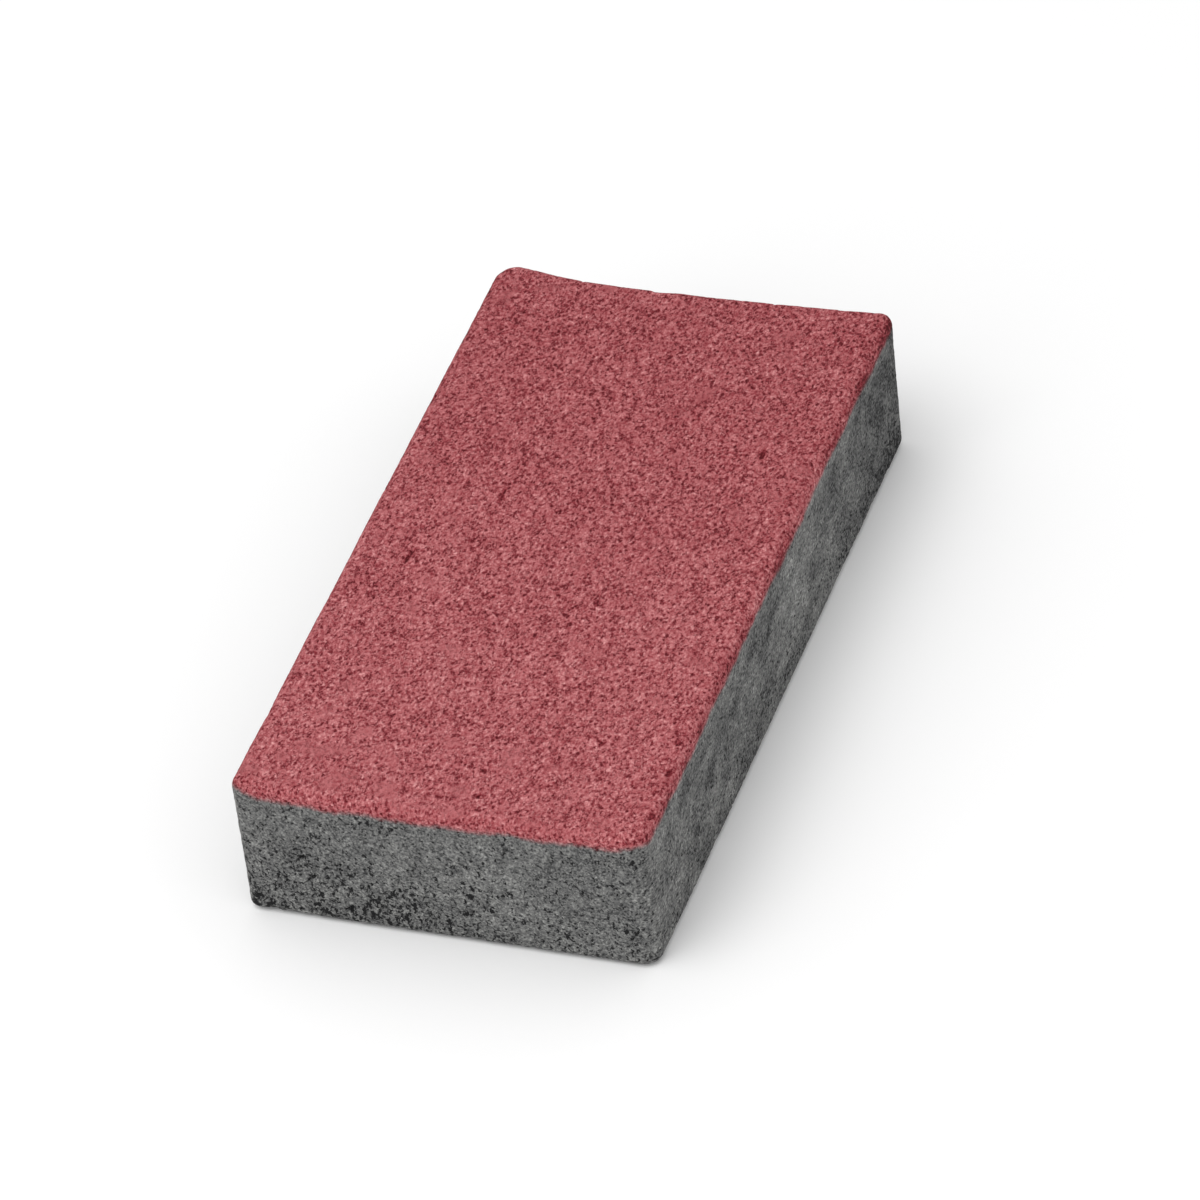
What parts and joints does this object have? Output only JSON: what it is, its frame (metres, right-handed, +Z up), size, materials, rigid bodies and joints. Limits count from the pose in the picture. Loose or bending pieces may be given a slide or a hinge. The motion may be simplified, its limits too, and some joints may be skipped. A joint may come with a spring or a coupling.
{
  "type": "concrete paving stone",
  "caption": "Rectangular pressed-concrete paving stone, grey with a red wearing face, rounded edges and pored sides, laid flat in paths and yards.",
  "frame": {"origin": "middle of the bed face, the flat underside that the stone lies on", "axes": "+Z up, square to the wearing face; +Y along the stone's length, towards its hollowed far end; +X to the right across its width"},
  "size_m": [0.1, 0.2, 0.04],
  "materials": {
    "concrete": "pressed concrete, matt and open-grained, red pigment on the wearing face and its edge, bare grey below"
  },
  "bodies": {
    "root": {"paving_stone": "concrete"}
  },
  "joints": []
}
